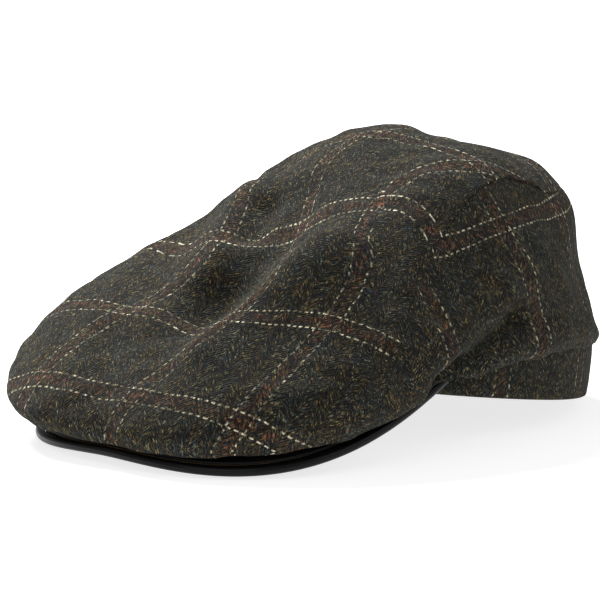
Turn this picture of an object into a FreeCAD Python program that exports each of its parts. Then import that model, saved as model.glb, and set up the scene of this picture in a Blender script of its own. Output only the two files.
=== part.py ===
import FreeCAD, Part
import Sketcher
import math
import os

# A soft flat cap: a one-piece top and two side panels over a band, with a
# leather-covered peak. It stands on its peak and on the back of the band.
# Front is -Y, the wearer's left is +X, up is +Z.

os.makedirs("parts", exist_ok=True)
doc = FreeCAD.newDocument("cap")
V = FreeCAD.Vector

# ---------------------------------------------------------------- sizes
sheet = doc.addObject("Spreadsheet::Sheet", "Sizes")
SIZES = [
    ("band_half_width", 88.0), ("band_half_length", 103.0), ("band_height", 24.0),
    ("band_wall", 1.8), ("layer_gap", 0.2), ("band_tilt", 8.8),
    ("interlining_wall", 1.0), ("interlining_height", 22.0), ("interlining_lift", 1.0),
    ("sweatband_wall", 1.2), ("sweatband_height", 31.0), ("sweatband_lift", 0.4),
    ("crown_wall", 1.4), ("lining_wall", 0.6), ("lining_inset", 6.0),
    ("crown_center", 4.0), ("crown_peak_height", 124.5), ("corner_fullness", 5.0),
    ("peak_half_width", 83.3), ("peak_front", 162.5), ("peak_horn", 54.8),
    ("peak_horn_round", 14.0), ("peak_power", 2.5), ("peak_slope", 0.48),
    ("peak_arch", 150.0), ("peak_rise", 4.6), ("peak_clear", 1.2),
    ("under_wall", 1.0), ("board_wall", 1.6), ("facing_wall", 0.9), ("ply_gap", 0.05),
    ("board_inset", 1.5), ("peak_stack", 3.6), ("hem_gap", 0.5), ("roll_radius", 2.0),
    ("roll_bore", 1.15), ("cord_radius", 1.0), ("roll_gap", 0.1), ("label_reach", 0.2),
    ("label_wall", 0.5), ("label_clear", 1.0),
    ("tab_width", 24.0), ("tab_length", 12.0), ("tab_wall", 0.5), ("tab_clear", 1.2),
    ("shift_back", 30.25),
]
for row, (alias, value) in enumerate(SIZES, start=1):
    sheet.set("A%d" % row, alias)
    sheet.set("B%d" % row, str(value))
    sheet.setAlias("B%d" % row, alias)
doc.recompute()


def size(alias):
    return float(sheet.get(alias))


def bind(obj, prop, expression):
    obj.setExpression(prop, expression)


# ---------------------------------------------------------------- crown form
# Profiles from the hem to the top of the crown, one for each 30 degrees from
# the front (0) round to the back (180): distance from the crown axis, height.
PROFILES = [
    [(166.5, 9), (171, 9.5), (172, 17), (158, 33), (127, 53), (82, 84), (34, 112)],
    [(143.5, 12), (150.5, 11.5), (157, 18), (154, 31), (126, 53), (78, 84.5), (33.5, 111.5)],
    [(97.5, 37), (103.5, 36), (107.5, 42.5), (101, 61), (80.5, 86.5), (49.5, 105.5), (24, 117.5)],
    [(90.5, 37), (94, 38.5), (96, 50), (89, 77), (63.5, 103), (38.5, 115), (19.5, 121)],
    [(92, 31), (94, 34.5), (90.5, 43.5), (84.5, 62), (75, 91), (45, 111), (22, 119.5)],
    [(98.5, 25), (100.5, 29.5), (96, 38.5), (89, 60), (81, 91), (52, 108.5), (25.5, 118.5)],
    [(102.2, 22.5), (104.5, 27), (100.5, 37), (93, 60), (84, 94), (54, 110), (26, 119)],
]
ROWS = len(PROFILES[0])
STEP = 30.0

# The seam between top and sides, in equal steps from its front tip on the hem
# to the centre back: angle from the front, profile row.
SEAM = [(39.0, 0.0), (40.5, 1.8), (43.0, 2.8), (46.5, 3.5), (54.0, 3.9), (68.0, 4.05),
        (90.0, 4.0), (112.0, 4.1), (135.0, 4.2), (157.5, 4.2), (180.0, 4.2)]


def peak_height(x, y):
    arch = size("peak_arch")
    return (size("peak_rise") + size("peak_slope") * (y + size("peak_front"))
            - arch + math.sqrt(arch * arch - x * x))


def spline(a, b, c, d, f):
    return 0.5 * (2.0 * b + (c - a) * f + (2.0 * a - 5.0 * b + 4.0 * c - d) * f * f
                  + (3.0 * b - a - 3.0 * c + d) * f ** 3)


def lookup(table, x):
    for (x0, y0), (x1, y1) in zip(table, table[1:]):
        if x <= x1:
            return y0 + (y1 - y0) * max(0.0, x - x0) / (x1 - x0)
    return table[-1][1]


def profile(angle):
    place = (angle % 360.0) / STEP
    base = int(math.floor(place))
    near = []
    for k in range(base - 1, base + 3):
        k = k % 12
        near.append(PROFILES[k if k <= 6 else 12 - k])
    f = place - base
    return [tuple(spline(*[p[row][axis] for p in near], f) for axis in (0, 1)) for row in range(ROWS)]


def crown_point(angle, row):
    rows = profile(angle)
    first = tuple(2.0 * a - b for a, b in zip(rows[0], rows[1]))
    over = profile(angle + 180.0)[-1]
    path = [first] + rows + [(0.0, size("crown_peak_height")), (-over[0], over[1])]
    base = min(max(int(math.floor(row)), 0), ROWS - 1)
    f = row - base
    near = path[base:base + 4]
    radius = spline(*[p[0] for p in near], f)
    height = spline(*[p[1] for p in near], f)
    turn = math.radians(angle)
    if math.cos(turn) > math.cos(math.radians(STEP)):
        fade = min(max(0.5 * (4.0 - row), 0.0), 1.0)
        radius += size("corner_fullness") * math.sin(6.0 * turn) ** 2 * fade
    x = radius * math.sin(turn)
    y = size("crown_center") - radius * math.cos(turn)
    if math.cos(turn) > 0.5 and row < 1.0 and abs(x) < size("peak_half_width") + 6.0:
        height = max(height, peak_height(x, y) + size("peak_stack") + size("hem_gap"))
    return V(x, y, height)


def crown_inward(angle, row):
    row = min(row, ROWS - 0.05)
    across = crown_point(angle + 1.0, row) - crown_point(angle - 1.0, row)
    up = crown_point(angle, row + 0.04) - crown_point(angle, row - 0.04)
    normal = up.cross(across)
    normal.normalize()
    return normal


def square_to_disc(a, b):
    x = a * math.sqrt(1.0 - 0.5 * b * b)
    y = b * math.sqrt(1.0 - 0.5 * a * a)
    return math.degrees(math.atan2(x, -y)), min(1.0, math.hypot(x, y))


def seam_place(part):
    """Angle and profile row of the seam, part 0 at its front tip, 1 at the back."""
    place = min(max(part, 0.0), 1.0) * (len(SEAM) - 1.0)
    base = min(int(math.floor(place)), len(SEAM) - 2)
    ends = [tuple(2.0 * a - b for a, b in zip(SEAM[0], SEAM[1]))] + SEAM
    ends.append(tuple(2.0 * a - b for a, b in zip(SEAM[-1], SEAM[-2])))
    near = ends[base:base + 4]
    return tuple(spline(*[p[axis] for p in near], place - base) for axis in (0, 1))


# ---------------------------------------------------------------- shells
def shell_between(outer, inner):
    """Closed solid between two equal grids of points."""
    faces = []
    for grid in (outer, inner):
        surface = Part.BSplineSurface()
        surface.interpolate(grid)
        faces.append(surface.toShape())
    sides = []
    for near, far in zip(faces[0].Edges, faces[1].Edges):
        sides.append(Part.makeRuledSurface(near, far))
    shell = Part.makeShell(faces + sides)
    shell.sewShape()
    solid = Part.makeSolid(Part.makeShell(shell.Faces))
    if solid.Volume < 0.0:
        solid.reverse()
    return solid


def grid_solid(point, inward, us, vs, near, far):
    outer = [[point(u, v) + inward(u, v) * near for v in vs] for u in us]
    inner = [[point(u, v) + inward(u, v) * far for v in vs] for u in us]
    return shell_between(outer, inner)


def steps(start, stop, count):
    return [start + (stop - start) * k / (count - 1.0) for k in range(count)]


def add_shape(label, shape):
    obj = doc.addObject("Part::Feature", label)
    obj.Label = label
    obj.Shape = shape
    bind(obj, "Placement.Base.y", "Sizes.shift_back")
    return obj


# ---------------------------------------------------------------- crown panels
CORNER = 45.0       # turn of the square's corner, where the top's seam starts
TOP_EDGE = 0.012    # profile rows from the seam line to the top's edge
SIDE_EDGE = 0.024   # profile rows from the seam line to the side's edge
SIDE_START = 0.03
SIDE_STOP = 0.9993


def top_place(a, b):
    turn, reach = square_to_disc(a, b)
    if abs(turn) <= CORNER:
        angle, edge = turn * SEAM[0][0] / CORNER, 0.0
    else:
        angle, edge = seam_place((abs(turn) - CORNER) / (180.0 - CORNER))
        angle = math.copysign(angle, turn)
    return angle, ROWS - reach * (ROWS - edge - TOP_EDGE)


def side_place(hand, along, part):
    angle, edge = seam_place(along)
    return hand * angle, part * (edge - SIDE_EDGE)


crown_wall = size("crown_wall")
fine = steps(-1.0, 1.0, 13)
add_shape("crown_top_panel", grid_solid(
    lambda a, b: crown_point(*top_place(a, b)), lambda a, b: crown_inward(*top_place(a, b)),
    fine, fine, 0.0, crown_wall))
for hand, label in ((1.0, "crown_side_left"), (-1.0, "crown_side_right")):
    add_shape(label, grid_solid(
        lambda u, v: crown_point(*side_place(hand, u, v)), lambda u, v: crown_inward(*side_place(hand, u, v)),
        steps(SIDE_START, SIDE_STOP, 65), steps(0.0, 1.0, 13), 0.0, crown_wall))

# ---------------------------------------------------------------- lining
# The lining leaves the sweatband's top edge and runs under the crown.
HEAD_MIDDLE = V(0.0, size("crown_center"), 40.0)
LINING_BLEND = 0.4     # part of the way up over which the lining joins the crown's form
LINING_SEAM = 0.545    # part of the way up at which the lining's top and sides meet
LINING_START = [(0.0, 4.5), (30.0, 4.3), (60.0, 3.4), (90.0, 2.7), (120.0, 2.3), (180.0, 2.0)]
TILT = math.radians(size("band_tilt"))


def tilted(x, y, z):
    """A point given on the band's own base plane, after the cap is set down."""
    return V(x, y * math.cos(TILT) + z * math.sin(TILT),
             (size("band_half_length") - y) * math.sin(TILT) + z * math.cos(TILT))


def ring_point(angle, depth, height):
    turn = math.radians(angle)
    return tilted((size("band_half_width") - depth) * math.sin(turn),
                  -(size("band_half_length") - depth) * math.cos(turn), height)


def lining_point(angle, part):
    start = lookup(LINING_START, abs(angle))
    row = start + (ROWS - start) * part
    under = crown_point(angle, row)
    to_head = HEAD_MIDDLE - under
    under = under + to_head * (size("lining_inset") / to_head.Length)
    ring = ring_point(angle, 4.0, size("sweatband_height") + 2.0)
    f = min(1.0, part / LINING_BLEND)
    blend = f * f * (3.0 - 2.0 * f)
    return ring * (1.0 - blend) + under * blend


def lining_inward(angle, part):
    """Towards the middle of the head space."""
    inward = HEAD_MIDDLE - lining_point(angle, part)
    inward.normalize()
    return inward


def lining_top_place(a, b):
    angle, reach = square_to_disc(a, b)
    return angle, 1.0 - reach * (1.0 - LINING_SEAM - 0.005)


lining_wall = size("lining_wall")
coarse = steps(-1.0, 1.0, 21)
add_shape("lining_top", grid_solid(
    lambda a, b: lining_point(*lining_top_place(a, b)), lambda a, b: lining_inward(*lining_top_place(a, b)),
    coarse, coarse, 0.0, lining_wall))
for hand, label in ((1.0, "lining_side_left"), (-1.0, "lining_side_right")):
    add_shape(label, grid_solid(
        lambda u, v: lining_point(hand * u, v), lambda u, v: lining_inward(hand * u, v),
        steps(0.2, 179.8, 33), steps(0.03, LINING_SEAM - 0.005, 9), 0.0, lining_wall))


# ---------------------------------------------------------------- band layers
def origin_plane(body, role):
    return [f for f in body.Origin.OriginFeatures if f.Role == role][0]


def add_ring(label, depth, wall, height, lift):
    """An oval band layer: how far inside the band it lies, its wall, height and lift."""
    body = doc.addObject("PartDesign::Body", label)
    body.Label = label
    sketch = body.newObject("Sketcher::SketchObject", label + "_sketch")
    sketch.AttachmentSupport = [(origin_plane(body, "XY_Plane"), "")]
    sketch.MapMode = "FlatFace"
    half_long = size("band_half_length")
    half_wide = size("band_half_width")
    for inset, expression in ((0.0, depth), (1.0, "%s + %s" % (depth, wall))):
        long_end = V(0.0, half_long - inset, 0.0)
        wide_end = V(-(half_wide - inset), 0.0, 0.0)
        oval = sketch.addGeometry(Part.Ellipse(long_end, wide_end, V(0, 0, 0)), False)
        sketch.exposeInternalGeometry(oval)
        sketch.addConstraint(Sketcher.Constraint("Coincident", oval, 3, -1, 1))
        sketch.addConstraint(Sketcher.Constraint("Vertical", oval + 1))
        major = sketch.addConstraint(Sketcher.Constraint("Distance", oval + 1, 2.0 * (half_long - inset)))
        minor = sketch.addConstraint(Sketcher.Constraint("Distance", oval + 2, 2.0 * (half_wide - inset)))
        bind(sketch, "Constraints[%d]" % major, "2 * (Sizes.band_half_length - (%s))" % expression)
        bind(sketch, "Constraints[%d]" % minor, "2 * (Sizes.band_half_width - (%s))" % expression)
    doc.recompute()
    pad = body.newObject("PartDesign::Pad", label + "_pad")
    pad.Profile = sketch
    bind(pad, "Length", height)
    doc.recompute()
    body.Placement.Rotation = FreeCAD.Rotation(V(-1, 0, 0), size("band_tilt"))
    bind(body, "Placement.Rotation.Angle", "Sizes.band_tilt")
    bind(body, "Placement.Base.y", "Sizes.shift_back + (%s) * sin(Sizes.band_tilt * 1 deg)" % lift)
    bind(body, "Placement.Base.z", "Sizes.band_half_length * sin(Sizes.band_tilt * 1 deg)"
         " + (%s) * cos(Sizes.band_tilt * 1 deg)" % lift)
    return body


BEHIND_BAND = "Sizes.band_wall + Sizes.layer_gap"
BEHIND_INTERLINING = BEHIND_BAND + " + Sizes.interlining_wall + Sizes.layer_gap"
add_ring("crown_band", "0", "Sizes.band_wall", "Sizes.band_height", "0")
add_ring("band_interlining", BEHIND_BAND, "Sizes.interlining_wall",
         "Sizes.interlining_height", "Sizes.interlining_lift")
add_ring("sweatband", BEHIND_INTERLINING, "Sizes.sweatband_wall",
         "Sizes.sweatband_height", "Sizes.sweatband_lift")


# ---------------------------------------------------------------- peak
def power_curve(value, power):
    return math.copysign(abs(value) ** (2.0 / power), value)


def peak_outline_point(turn, grow):
    """Rim of the peak in plan, grown outwards by a distance."""
    half = size("peak_half_width") + grow
    front = size("peak_front") - size("peak_horn") + grow
    back = size("peak_horn_round") + grow
    reach = front if math.cos(turn) > 0.0 else back
    return (half * power_curve(math.sin(turn), size("peak_power")),
            -size("peak_horn") - reach * power_curve(math.cos(turn), size("peak_power")))


def outline_block(grow):
    points = [V(*peak_outline_point(math.radians(a), grow), 0.0) for a in range(-180, 180, 6)]
    curve = Part.BSplineCurve()
    curve.interpolate(Points=points, PeriodicFlag=True)
    block = Part.Face(Part.Wire([curve.toShape()])).extrude(V(0, 0, 90.0))
    hole = Part.Ellipse(V(0, 0, 0), size("band_half_length") + size("peak_clear"),
                        size("band_half_width") + size("peak_clear"))
    hole.rotate(FreeCAD.Placement(V(0, 0, 0), V(0, 0, 1), 90))
    core = Part.Face(Part.Wire([hole.toShape()])).extrude(V(0, 0, 92.0))
    core.translate(V(0, 0, -1))
    return block.cut(core)


def add_peak_ply(label, lift, wall_alias, grow):
    """A ply of the peak: its plan outline cut from a leaning, arched slab."""
    block = doc.addObject("Part::Feature", label + "_plan")
    block.Shape = outline_block(grow)
    sketch = doc.addObject("Sketcher::SketchObject", label + "_arch")
    sketch.Placement = FreeCAD.Placement(V(0, -size("peak_front"), 0), FreeCAD.Rotation(V(1, 0, 0), 90))
    arch = size("peak_arch")
    wall = size(wall_alias)
    half = 100.0
    foot = size("peak_rise") + lift - arch
    corner = math.sqrt(arch * arch - half * half)
    left = math.atan2(corner, -half)
    right = math.atan2(corner, half)
    arcs = [Part.ArcOfCircle(Part.Circle(V(0, rise, 0), V(0, 0, 1), arch), right, left)
            for rise in (foot, foot + wall)]
    low, high = [sketch.addGeometry(arc) for arc in arcs]
    ends = []
    for side in (half, -half):
        ends.append(sketch.addGeometry(Part.LineSegment(V(side, foot + corner, 0),
                                                        V(side, foot + corner + wall, 0))))
    for arc in (low, high):
        sketch.addConstraint(Sketcher.Constraint("PointOnObject", arc, 3, -2))
    for end, spot in zip(ends, (1, 2)):
        sketch.addConstraint(Sketcher.Constraint("Coincident", low, spot, end, 1))
        sketch.addConstraint(Sketcher.Constraint("Coincident", high, spot, end, 2))
        sketch.addConstraint(Sketcher.Constraint("Vertical", end))
    sketch.addConstraint(Sketcher.Constraint("Equal", low, high))
    radius = sketch.addConstraint(Sketcher.Constraint("Radius", low, arch))
    rise = sketch.addConstraint(Sketcher.Constraint("DistanceY", low, 3, -1, 1, -foot))
    thick = sketch.addConstraint(Sketcher.Constraint("DistanceY", low, 3, high, 3, wall))
    sketch.addConstraint(Sketcher.Constraint("DistanceX", -1, 1, low, 1, half))
    bind(sketch, "Constraints[%d]" % radius, "Sizes.peak_arch")
    bind(sketch, "Constraints[%d]" % rise, "Sizes.peak_arch - Sizes.peak_rise - (%f)" % lift)
    bind(sketch, "Constraints[%d]" % thick, "Sizes." + wall_alias)
    slab = doc.addObject("Part::Extrusion", label + "_slab")
    slab.Base = sketch
    slab.DirMode = "Custom"
    slab.Solid = True
    slab.Dir = V(0, 1, size("peak_slope"))
    slab.LengthFwd = 150.0
    slab.LengthRev = 20.0
    doc.recompute()
    ply = doc.addObject("Part::MultiCommon", label)
    ply.Label = label
    ply.Shapes = [block, slab]
    bind(ply, "Placement.Base.y", "Sizes.shift_back")
    return ply


under_lift = 0.0
board_lift = under_lift + size("under_wall") + size("ply_gap")
facing_lift = board_lift + size("board_wall") + size("ply_gap")
add_peak_ply("peak_under_cover", under_lift, "under_wall", 0.0)
add_peak_ply("peak_board", board_lift, "board_wall", -size("board_inset"))
add_peak_ply("peak_facing", facing_lift, "facing_wall", 0.0)


def rim_path(grow, reach):
    points = []
    for angle in range(-reach, reach + 1, 3):
        x, y = peak_outline_point(math.radians(angle), grow)
        points.append(V(x, y, peak_height(x, y) + 0.5 * size("peak_stack")))
    curve = Part.BSplineCurve()
    curve.interpolate(points)
    return Part.Wire([curve.toShape()])


def rod(path, radius):
    start = path.Edges[0]
    point = start.valueAt(start.FirstParameter)
    along = start.tangentAt(start.FirstParameter)
    profile_wire = Part.Wire([Part.Circle(point, along, radius).toShape()])
    return path.makePipeShell([profile_wire], True, False)


roll_path = rim_path(size("roll_radius") + size("roll_gap"), 90)
add_shape("peak_edge_roll", rod(roll_path, size("roll_radius")).cut(rod(roll_path, size("roll_bore"))))
add_shape("peak_edge_cord", rod(roll_path, size("cord_radius")))


# ---------------------------------------------------------------- labels
def add_card(label, wide, long, wall, place):
    body = doc.addObject("PartDesign::Body", label)
    body.Label = label
    sketch = body.newObject("Sketcher::SketchObject", label + "_sketch")
    sketch.AttachmentSupport = [(origin_plane(body, "XY_Plane"), "")]
    sketch.MapMode = "FlatFace"
    half_w = 0.5 * size(wide)
    half_l = 0.5 * size(long)
    corners = [V(-half_w, -half_l, 0), V(half_w, -half_l, 0), V(half_w, half_l, 0), V(-half_w, half_l, 0)]
    for k in range(4):
        sketch.addGeometry(Part.LineSegment(corners[k], corners[(k + 1) % 4]))
    for k in range(4):
        sketch.addConstraint(Sketcher.Constraint("Coincident", k, 2, (k + 1) % 4, 1))
    for k in (0, 2):
        sketch.addConstraint(Sketcher.Constraint("Horizontal", k))
        sketch.addConstraint(Sketcher.Constraint("Vertical", k + 1))
    sketch.addConstraint(Sketcher.Constraint("Symmetric", 0, 1, 2, 1, -1, 1))
    across = sketch.addConstraint(Sketcher.Constraint("DistanceX", 0, 1, 0, 2, size(wide)))
    along = sketch.addConstraint(Sketcher.Constraint("DistanceY", 1, 1, 1, 2, size(long)))
    bind(sketch, "Constraints[%d]" % across, "Sizes." + wide)
    bind(sketch, "Constraints[%d]" % along, "Sizes." + long)
    doc.recompute()
    pad = body.newObject("PartDesign::Pad", label + "_pad")
    pad.Profile = sketch
    bind(pad, "Length", "Sizes." + wall)
    body.Placement = place
    return body


# An oval label lies under the top of the lining, facing the head.
def label_place(a, b):
    angle, reach = square_to_disc(a, b)
    return angle, 1.0 - reach * size("label_reach")


label_depth = lining_wall + size("label_clear")
small = steps(-1.0, 1.0, 15)
add_shape("lining_label", grid_solid(
    lambda a, b: lining_point(*label_place(a, b)), lambda a, b: lining_inward(*label_place(a, b)),
    small, small, label_depth, label_depth + size("label_wall")))

# The size tab lies against the inside of the sweatband at the back.
tab_depth = (size("band_wall") + size("interlining_wall") + size("sweatband_wall")
             + 2.0 * size("layer_gap") + size("tab_wall") + size("tab_clear"))
tab_foot = tilted(0.0, size("band_half_length") - tab_depth, 14.0)
add_card("size_tab", "tab_width", "tab_length", "tab_wall",
         FreeCAD.Placement(tab_foot + V(0, size("shift_back"), 0),
                           FreeCAD.Rotation(V(1, 0, 0), 90.0 - size("band_tilt"))))

# ---------------------------------------------------------------- checks and export
doc.recompute()
NODES = [
    "crown_top_panel", "crown_side_left", "crown_side_right", "crown_band", "band_interlining",
    "sweatband", "lining_top", "lining_side_left", "lining_side_right", "peak_under_cover",
    "peak_board", "peak_facing", "peak_edge_roll", "peak_edge_cord", "lining_label", "size_tab",
]
for obj in doc.Objects:
    bad = [s for s in obj.State if s in ("Invalid", "Error")]
    if bad:
        raise RuntimeError("%s: %s" % (obj.Name, bad))
for label in NODES:
    obj = doc.getObjectsByLabel(label)[0]
    shape = obj.Shape
    if shape.isNull() or not shape.isValid() or shape.Volume <= 0.0:
        raise RuntimeError("bad shape: " + label)
    box = shape.BoundBox
    print("%-18s v=%8.0f solids=%d x %.1f..%.1f y %.1f..%.1f z %.1f..%.1f" % (
        label, shape.Volume, len(shape.Solids), box.XMin, box.XMax, box.YMin, box.YMax, box.ZMin, box.ZMax))
    shape.exportStep("parts/%s.step" % label)
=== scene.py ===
import math

import bpy
import numpy as np
from mathutils import Matrix, Vector


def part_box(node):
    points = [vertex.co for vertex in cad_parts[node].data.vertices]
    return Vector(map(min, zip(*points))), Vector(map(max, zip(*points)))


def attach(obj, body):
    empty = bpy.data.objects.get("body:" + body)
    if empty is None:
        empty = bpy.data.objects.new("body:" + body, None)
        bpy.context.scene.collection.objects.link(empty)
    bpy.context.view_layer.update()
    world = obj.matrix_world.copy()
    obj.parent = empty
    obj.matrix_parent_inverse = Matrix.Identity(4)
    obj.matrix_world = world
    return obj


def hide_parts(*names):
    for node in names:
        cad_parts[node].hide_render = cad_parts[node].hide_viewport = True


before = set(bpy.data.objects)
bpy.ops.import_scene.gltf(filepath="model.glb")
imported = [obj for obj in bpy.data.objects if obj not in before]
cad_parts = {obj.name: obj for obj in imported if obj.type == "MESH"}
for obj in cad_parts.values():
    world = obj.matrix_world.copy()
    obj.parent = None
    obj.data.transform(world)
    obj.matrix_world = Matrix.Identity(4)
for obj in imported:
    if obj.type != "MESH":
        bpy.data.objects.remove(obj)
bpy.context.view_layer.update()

# ================================================================ places and sizes
# Lengths are in millimetres from a point under the middle of the band, which the
# band's own box gives; row() turns them into metres in the row frame.
MM = 0.001
BAND_TILT = math.radians(8.8)
BAND_HEIGHT = 24.0
BAND_HALF_WIDTH = 88.0
BAND_HALF_LENGTH = 103.0
low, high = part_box("crown_band")
BAND_MIDDLE = (low[1] + high[1]) / 2.0 / MM - BAND_HEIGHT * math.sin(BAND_TILT) / 2.0

CROWN_MIDDLE = 4.0
CROWN_TOP = 124.5
PEAK_HALF_WIDTH = 83.3
PEAK_FRONT = 162.5
PEAK_HORN = 54.8
PEAK_POWER = 2.5
PEAK_RISE = 4.6
PEAK_SLOPE = 0.48
PEAK_ARCH = 150.0
WOOL = 1.3
HEM_LIFT = 3.2


def row(points):
    """Millimetre points as metres in the row frame."""
    return (np.asarray(points, float) + (0.0, BAND_MIDDLE, 0.0)) * MM


# ================================================================ crown surface
# Profiles run from the hem to the top as (distance from the crown's axis, height),
# one every 30 degrees from the front round by the wearer's left. The front slouches
# over the peak towards the wearer's right.
PROFILES = np.array([
    [(166.5, 8.5), (171, 9.5), (172, 18), (158, 34), (127, 53), (82, 84), (34, 112)],
    [(143.5, 12), (148, 11.5), (153, 20), (149, 34), (121, 57.5), (76, 88), (33, 113)],
    [(97, 36), (103, 33), (107.5, 42), (101, 63), (81, 89), (50, 108), (24, 118.5)],
    [(89, 37), (94, 38), (96, 50), (89, 77), (63.5, 103), (38.5, 115), (19.5, 121)],
    [(92, 31.5), (94, 35.5), (91.5, 44), (85.5, 63), (76, 91), (45, 111), (22, 119.5)],
    [(98.5, 25.5), (99.5, 31), (96, 40), (90, 61), (82.5, 91), (53, 108.5), (25.5, 118.5)],
    [(102, 23), (104, 28.5), (100.5, 38), (93, 60), (84, 94), (54, 110), (26, 119)],
    [(98.5, 25.5), (99.5, 31), (96, 40), (90, 61), (82.5, 91), (53, 108.5), (25.5, 118.5)],
    [(92, 31.5), (94, 35.5), (91.5, 44), (85.5, 63), (76, 91), (45, 111), (22, 119.5)],
    [(89, 37), (94, 38), (96, 50), (89, 76), (62.5, 100), (38.5, 112.5), (19.5, 120)],
    [(97, 36), (103, 33), (107, 40), (101, 57), (79, 80), (49, 99.5), (24, 114.5)],
    [(144, 15), (154, 13), (165, 20), (160, 34), (135, 55), (82, 82), (34, 110.5)],
], float)
TOP_ROW = 7
CORNER_FULLNESS = 5.0
# The seam between top and sides as (angle, row), in equal steps from its front tip.
SEAM = np.array([(39, 0), (40.5, 1.8), (43, 2.8), (46.5, 3.5), (54, 3.9), (68, 4.05), (90, 4.0),
                 (112, 4.1), (135, 4.2), (157.5, 4.2), (180, 4.2)], float)


def spline(before, start, stop, after, share):
    """Catmull-Rom blend of four neighbours."""
    return 0.5 * (2 * start + (stop - before) * share
                  + (2 * before - 5 * start + 4 * stop - after) * share ** 2
                  + (3 * start - before - 3 * stop + after) * share ** 3)


def profiles_at(angle):
    place = (angle % 360.0) / 30.0
    index = np.floor(place).astype(int)
    near = [PROFILES[(index + step) % len(PROFILES)] for step in (-1, 0, 1, 2)]
    return spline(*near, (place - index)[:, None, None])


def peak_height(x, y):
    arch = np.sqrt(PEAK_ARCH ** 2 - np.minimum(x * x, 140.0 ** 2)) - PEAK_ARCH
    return PEAK_RISE + PEAK_SLOPE * (y + PEAK_FRONT) + arch


def crown(angle, place):
    """Points of the crown at angles from the front and rows from 0 at the hem to 7 on top."""
    angle, place = np.broadcast_arrays(np.asarray(angle, float), np.asarray(place, float))
    shape = angle.shape
    angle, place = angle.ravel(), place.ravel()
    up = profiles_at(angle)
    beyond = profiles_at(angle + 180.0)[:, [-1]] * (-1.0, 1.0)
    pole = np.zeros((len(angle), 1, 2))
    pole[..., 1] = CROWN_TOP
    up = np.concatenate([2 * up[:, [0]] - up[:, [1]], up, pole, beyond], axis=1)
    index = np.clip(np.floor(place).astype(int), 0, TOP_ROW - 1)
    each = np.arange(len(angle))
    reach = spline(*[up[each, index + step] for step in range(4)], (place - index)[:, None])
    turn = np.radians(angle)
    in_front = np.abs((angle + 180.0) % 360.0 - 180.0) < 30.0
    full = np.sin(6 * turn) ** 2 * in_front * np.clip((4.0 - place) / 2.0, 0.0, 1.0)
    radius = reach[:, 0] + CORNER_FULLNESS * full
    x = radius * np.sin(turn)
    y = CROWN_MIDDLE - radius * np.cos(turn)
    z = reach[:, 1]
    on_peak = (np.cos(turn) > 0.5) & (place < 1.0) & (np.abs(x) < PEAK_HALF_WIDTH + 6.0)
    z = np.where(on_peak, np.maximum(z, peak_height(x, y) + HEM_LIFT), z)
    return np.stack([x, y, z], axis=-1).reshape(shape + (3,))


def seam_place(part):
    place = np.clip(part, 0.0, 1.0) * (len(SEAM) - 1)
    index = np.minimum(place.astype(int), len(SEAM) - 2)
    ends = np.concatenate([[2 * SEAM[0] - SEAM[1]], SEAM, [2 * SEAM[-1] - SEAM[-2]]])
    found = spline(*[ends[index + step] for step in range(4)], (place - index)[..., None])
    return found[..., 0], found[..., 1]


def square(count):
    """A square grid of places, -1 to 1 each way."""
    return np.meshgrid(*[np.linspace(-1.0, 1.0, count)] * 2, indexing="ij")


def on_disc(across, along):
    """Places on a square moved onto a disc, with their angles from the front and distances out."""
    x = across * np.sqrt(1.0 - 0.5 * along ** 2)
    y = along * np.sqrt(1.0 - 0.5 * across ** 2)
    return np.stack([x, y], axis=-1), np.degrees(np.arctan2(x, -y)), np.minimum(1.0, np.hypot(x, y))


def top_place(across, along):
    """Angle and row of a place on the square that the top panel is drawn on."""
    turn, reach = on_disc(across, along)[1:]
    angle, edge = seam_place((np.abs(turn) - 45.0) / 135.0)
    front = np.abs(turn) <= 45.0
    angle = np.where(front, turn * SEAM[0][0] / 45.0, np.copysign(angle, turn))
    edge = np.where(front, 0.0, edge)
    return angle, TOP_ROW - reach * (TOP_ROW - edge)


def normals_of(points):
    """Outward unit normals of a grid of points."""
    across = np.gradient(points, axis=0)
    along = np.gradient(points, axis=1)
    normal = np.cross(across, along)
    normal /= np.linalg.norm(normal, axis=-1, keepdims=True) + 1e-12
    outward = points - (0.0, CROWN_MIDDLE, 40.0)
    flip = np.sign((normal * outward).sum(axis=-1).mean())
    return normal * flip


# ================================================================ folds
# Each fold is a line of points near the surface, the height it raises the cloth (or
# sinks it, below zero), and its spread on its right and left sides looking along it.
FOLDS = [
    # the wearer's left shoulder of the top stands high
    ([(42, -86, 80), (48, -68, 90), (53, -46, 98), (55, -18, 104), (52, 14, 106), (47, 46, 104)],
     7.0, 24, 21),
    # long crest down the front, the valley on its right, and two dimples beside the valley
    ([(24, -131, 46), (28, -119, 54), (33, -106, 62), (36, -93, 71), (38, -80, 80)], 7.0, 20, 7),
    ([(9, -116, 56), (11, -108, 62), (14, -94, 71), (15, -78, 81), (10, -62, 90), (3, -45, 97)],
     -6.0, 8, 13),
    ([(5, -117, 50), (1, -101, 62)], -3.5, 12, 12),
    ([(-8, -74, 87), (-15, -57, 95)], -8.0, 9, 9),
    # crest and hollow on the wearer's right of it
    ([(-8, -96, 71), (-16, -80, 81), (-24, -64, 89), (-36, -42, 96)], 4.5, 9, 16),
    ([(-30, -104, 62), (-40, -84, 74), (-52, -62, 84)], -3.0, 12, 12),
    # cross fold above the peak
    ([(-64, -114, 46), (-34, -128, 46), (-10, -124, 51), (12, -119, 55)], 2.5, 8, 10),
    # side: a deep fold that runs back and up from the peak's horn
    ([(90, -64, 31), (94, -49, 38), (97, -34, 46), (97, -20, 54)], -7.0, 5, 6),
    ([(89, -70, 41), (94, -54, 48), (97, -38, 56), (97, -24, 64)], 4.5, 5, 14),
    ([(92, -46, 30), (96, -25, 40), (96, 5, 44), (88, 36, 42)], 4.0, 7, 8),
]
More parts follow.
